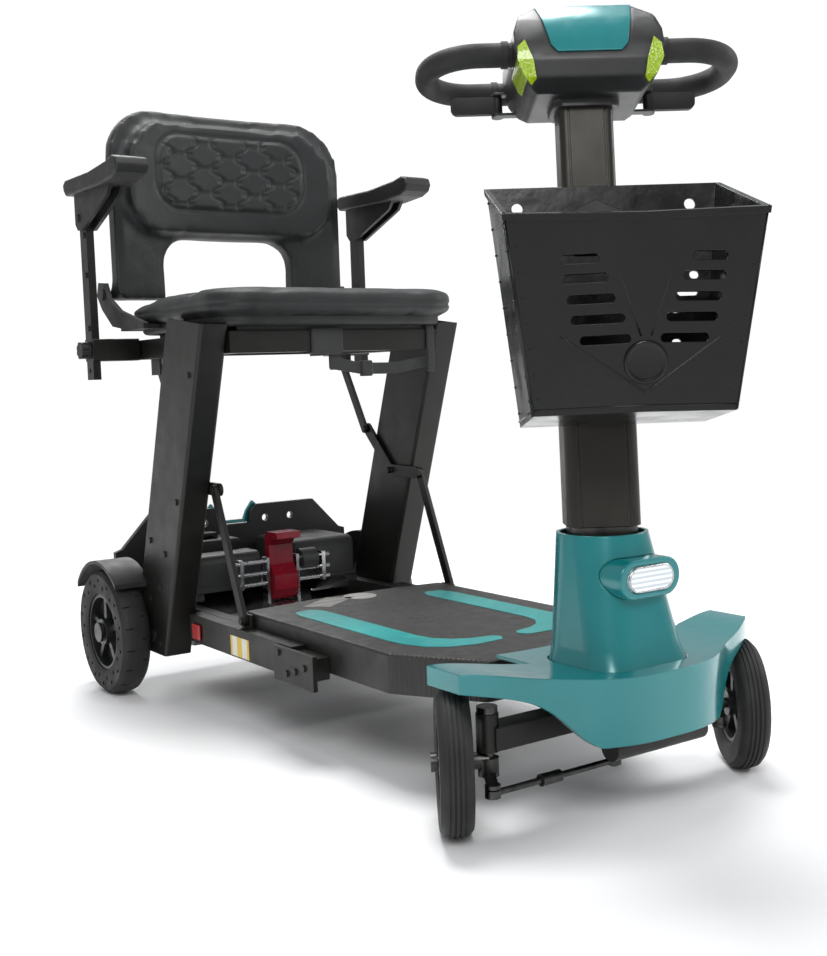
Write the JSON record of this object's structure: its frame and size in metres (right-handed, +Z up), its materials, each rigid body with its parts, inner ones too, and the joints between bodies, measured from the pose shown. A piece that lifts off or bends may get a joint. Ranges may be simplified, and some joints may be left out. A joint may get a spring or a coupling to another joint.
{
  "type": "mobility scooter",
  "caption": "Folding four-wheel travel mobility scooter with a padded seat, flip-up armrests, front basket and a closed-loop tiller grip.",
  "frame": {"origin": "centre of the overall box, on the floor", "axes": "+Z up, the scooter drives towards -Y, the rider's left is +X"},
  "size_m": [0.534, 1.1554, 0.904],
  "materials": {
    "frame_paint": "satin",
    "tiller_paint": "satin",
    "teal_paint": "gloss",
    "black_plastic": "satin",
    "gloss_black": "gloss",
    "grey_plastic": "satin",
    "tyre_rubber": "matte",
    "rim_plastic": "satin",
    "steel": "satin",
    "red_plastic": "gloss",
    "lamp_clear": "gloss",
    "reflector_yellow": "gloss",
    "reflector_red": "gloss",
    "seat_vinyl": "satin",
    "grip_foam": "matte",
    "webbing": "matte"
  },
  "bodies": {
    "chassis": {"rear_frame": "frame_paint", "drive_unit": "black_plastic", "drive_covers": "grey_plastic", "rear_housing": "grey_plastic", "rear_trim": "teal_paint", "fender_left": "black_plastic", "fender_right": "black_plastic", "lock_rods": "frame_paint", "reflectors": "reflector_red", "deck_board": "frame_paint", "deck_stripes": "teal_paint", "front_chassis": "frame_paint", "bumper": "teal_paint", "shroud": "teal_paint", "headlight_housing": "teal_paint", "headlight_lens": "lamp_clear", "leg_left": "frame_paint", "leg_right": "frame_paint", "rocker_left": "frame_paint", "rocker_right": "frame_paint", "strut_left": "frame_paint", "strut_right": "frame_paint", "link_left": "frame_paint", "link_right": "frame_paint", "seat_frame": "frame_paint", "seat_pan": "black_plastic", "seat_cushion": "seat_vinyl", "seat_strap": "webbing"},
    "battery": {"battery_pack": "black_plastic"},
    "lever": {"fold_lever": "red_plastic"},
    "backrest": {"backrest": "seat_vinyl"},
    "steering": {"steering_stem": "frame_paint"},
    "tiller": {"tiller_tube": "tiller_paint", "basket": "gloss_black"},
    "mast": {"tiller_mast": "tiller_paint", "console_shell": "black_plastic", "console_panel": "teal_paint", "console_lamps": "reflector_yellow", "grip_ring": "grip_foam"},
    "dial": {"speed_dial": "black_plastic"},
    "rear_wheel_left": {"rear_tyre_left": "tyre_rubber", "rear_rim_left": "rim_plastic"},
    "rear_wheel_right": {"rear_tyre_right": "tyre_rubber", "rear_rim_right": "rim_plastic"},
    "arm_left": {"arm_post_left": "frame_paint"},
    "armrest_left": {"arm_pad_left": "black_plastic"},
    "knob_left": {"arm_knob_left": "black_plastic"},
    "arm_right": {"arm_post_right": "frame_paint"},
    "armrest_right": {"arm_pad_right": "black_plastic"},
    "knob_right": {"arm_knob_right": "black_plastic"},
    "knuckle_left": {"knuckle_left": "frame_paint"},
    "tie_rod_left": {"tie_rod_left": "steel"},
    "front_wheel_left": {"front_tyre_left": "tyre_rubber", "front_rim_left": "rim_plastic"},
    "knuckle_right": {"knuckle_right": "frame_paint"},
    "tie_rod_right": {"tie_rod_right": "steel"},
    "front_wheel_right": {"front_tyre_right": "tyre_rubber", "front_rim_right": "rim_plastic"},
    "throttle_left": {"throttle_left": "black_plastic"},
    "throttle_right": {"throttle_right": "black_plastic"}
  },
  "joints": [
    {"name": "rear_wheel_left_spin", "type": "hinge", "parent": "chassis", "child": "rear_wheel_left", "pos_m": [0.24, 0.4817, 0.096], "axis": [1, 0, 0], "continuous": true},
    {"name": "rear_wheel_right_spin", "type": "hinge", "parent": "chassis", "child": "rear_wheel_right", "pos_m": [-0.24, 0.4817, 0.096], "axis": [1, 0, 0], "continuous": true},
    {"name": "battery_lift", "type": "slide", "parent": "chassis", "child": "battery", "axis": [0, 0, 1], "range_m": [0, 0.06]},
    {"name": "fold_lever_pull", "type": "hinge", "parent": "chassis", "child": "lever", "pos_m": [0, 0.3817, 0.136], "axis": [1, 0, 0], "range_deg": [0, 25]},
    {"name": "backrest_fold", "type": "hinge", "parent": "chassis", "child": "backrest", "pos_m": [0, 0.5157, 0.612], "axis": [1, 0, 0], "range_deg": [0, 66]},
    {"name": "arm_left_width", "type": "slide", "parent": "chassis", "child": "arm_left", "axis": [1, 0, 0], "range_m": [0, 0.03]},
    {"name": "armrest_left_flip", "type": "hinge", "parent": "arm_left", "child": "armrest_left", "pos_m": [0.242, 0.5017, 0.726], "axis": [-1, 0, 0], "range_deg": [0, 88]},
    {"name": "arm_left_knob_turn", "type": "hinge", "parent": "arm_left", "child": "knob_left", "pos_m": [0.256, 0.5017, 0.527], "axis": [1, 0, 0], "range_deg": [-170, 170]},
    {"name": "arm_right_width", "type": "slide", "parent": "chassis", "child": "arm_right", "axis": [-1, 0, 0], "range_m": [0, 0.03]},
    {"name": "armrest_right_flip", "type": "hinge", "parent": "arm_right", "child": "armrest_right", "pos_m": [-0.242, 0.5017, 0.726], "axis": [-1, 0, 0], "range_deg": [0, 88]},
    {"name": "arm_right_knob_turn", "type": "hinge", "parent": "arm_right", "child": "knob_right", "pos_m": [-0.256, 0.5017, 0.527], "axis": [1, 0, 0], "range_deg": [-170, 170]},
    {"name": "steer", "type": "hinge", "parent": "chassis", "child": "steering", "pos_m": [0, -0.3563, 0.2], "axis": [0, 0, 1], "range_deg": [-7, 73]},
    {"name": "knuckle_left_turn", "type": "hinge", "parent": "chassis", "child": "knuckle_left", "pos_m": [0.165, -0.3563, 0.1], "axis": [0, 0, 1], "range_deg": [-7, 73]},
    {"name": "tie_rod_left_pivot", "type": "hinge", "parent": "knuckle_left", "child": "tie_rod_left", "pos_m": [0.14049, -0.39404, 0.07], "axis": [0, 0, 1], "range_deg": [-73, 7]},
    {"name": "front_wheel_left_spin", "type": "hinge", "parent": "knuckle_left", "child": "front_wheel_left", "pos_m": [0.19519, -0.3759, 0.076], "axis": [0.8387, -0.5446, 0], "continuous": true},
    {"name": "knuckle_right_turn", "type": "hinge", "parent": "chassis", "child": "knuckle_right", "pos_m": [-0.165, -0.3563, 0.1], "axis": [0, 0, 1], "range_deg": [-7, 73]},
    {"name": "tie_rod_right_pivot", "type": "hinge", "parent": "knuckle_right", "child": "tie_rod_right", "pos_m": [-0.18951, -0.39404, 0.056], "axis": [0, 0, 1], "range_deg": [-73, 7]},
    {"name": "front_wheel_right_spin", "type": "hinge", "parent": "knuckle_right", "child": "front_wheel_right", "pos_m": [-0.19519, -0.33669, 0.076], "axis": [0.8387, -0.5446, 0], "continuous": true},
    {"name": "tiller_fold", "type": "hinge", "parent": "steering", "child": "tiller", "pos_m": [0.02001, -0.32549, 0.30623], "axis": [-0.8387, 0.5446, 0], "range_deg": [0, 36]},
    {"name": "tiller_height", "type": "slide", "parent": "tiller", "child": "mast", "axis": [0.0711, 0.1095, 0.9914], "range_m": [-0.03, 0.05]},
    {"name": "speed_dial_turn", "type": "hinge", "parent": "mast", "child": "dial", "pos_m": [0.07823, -0.23583, 0.79647], "axis": [0.54, 0.8315, -0.1305], "range_deg": [-130, 130]},
    {"name": "throttle_left_pull", "type": "hinge", "parent": "mast", "child": "throttle_left", "pos_m": [0.14455, -0.29529, 0.78013], "axis": [0.0711, 0.1095, 0.9914], "range_deg": [0, 12], "stiffness_Nm_per_rad": 0.4},
    {"name": "throttle_right_pull", "type": "hinge", "parent": "mast", "child": "throttle_right", "pos_m": [-0.00306, -0.19943, 0.78013], "axis": [-0.0711, -0.1095, -0.9914], "range_deg": [0, 12], "stiffness_Nm_per_rad": 0.4}
  ],
  "couplings": [
    {"joint": "knuckle_left_turn", "follows": "steer", "ratio": 1},
    {"joint": "tie_rod_left_pivot", "follows": "steer", "ratio": -1},
    {"joint": "knuckle_right_turn", "follows": "steer", "ratio": 1},
    {"joint": "tie_rod_right_pivot", "follows": "steer", "ratio": -1}
  ]
}
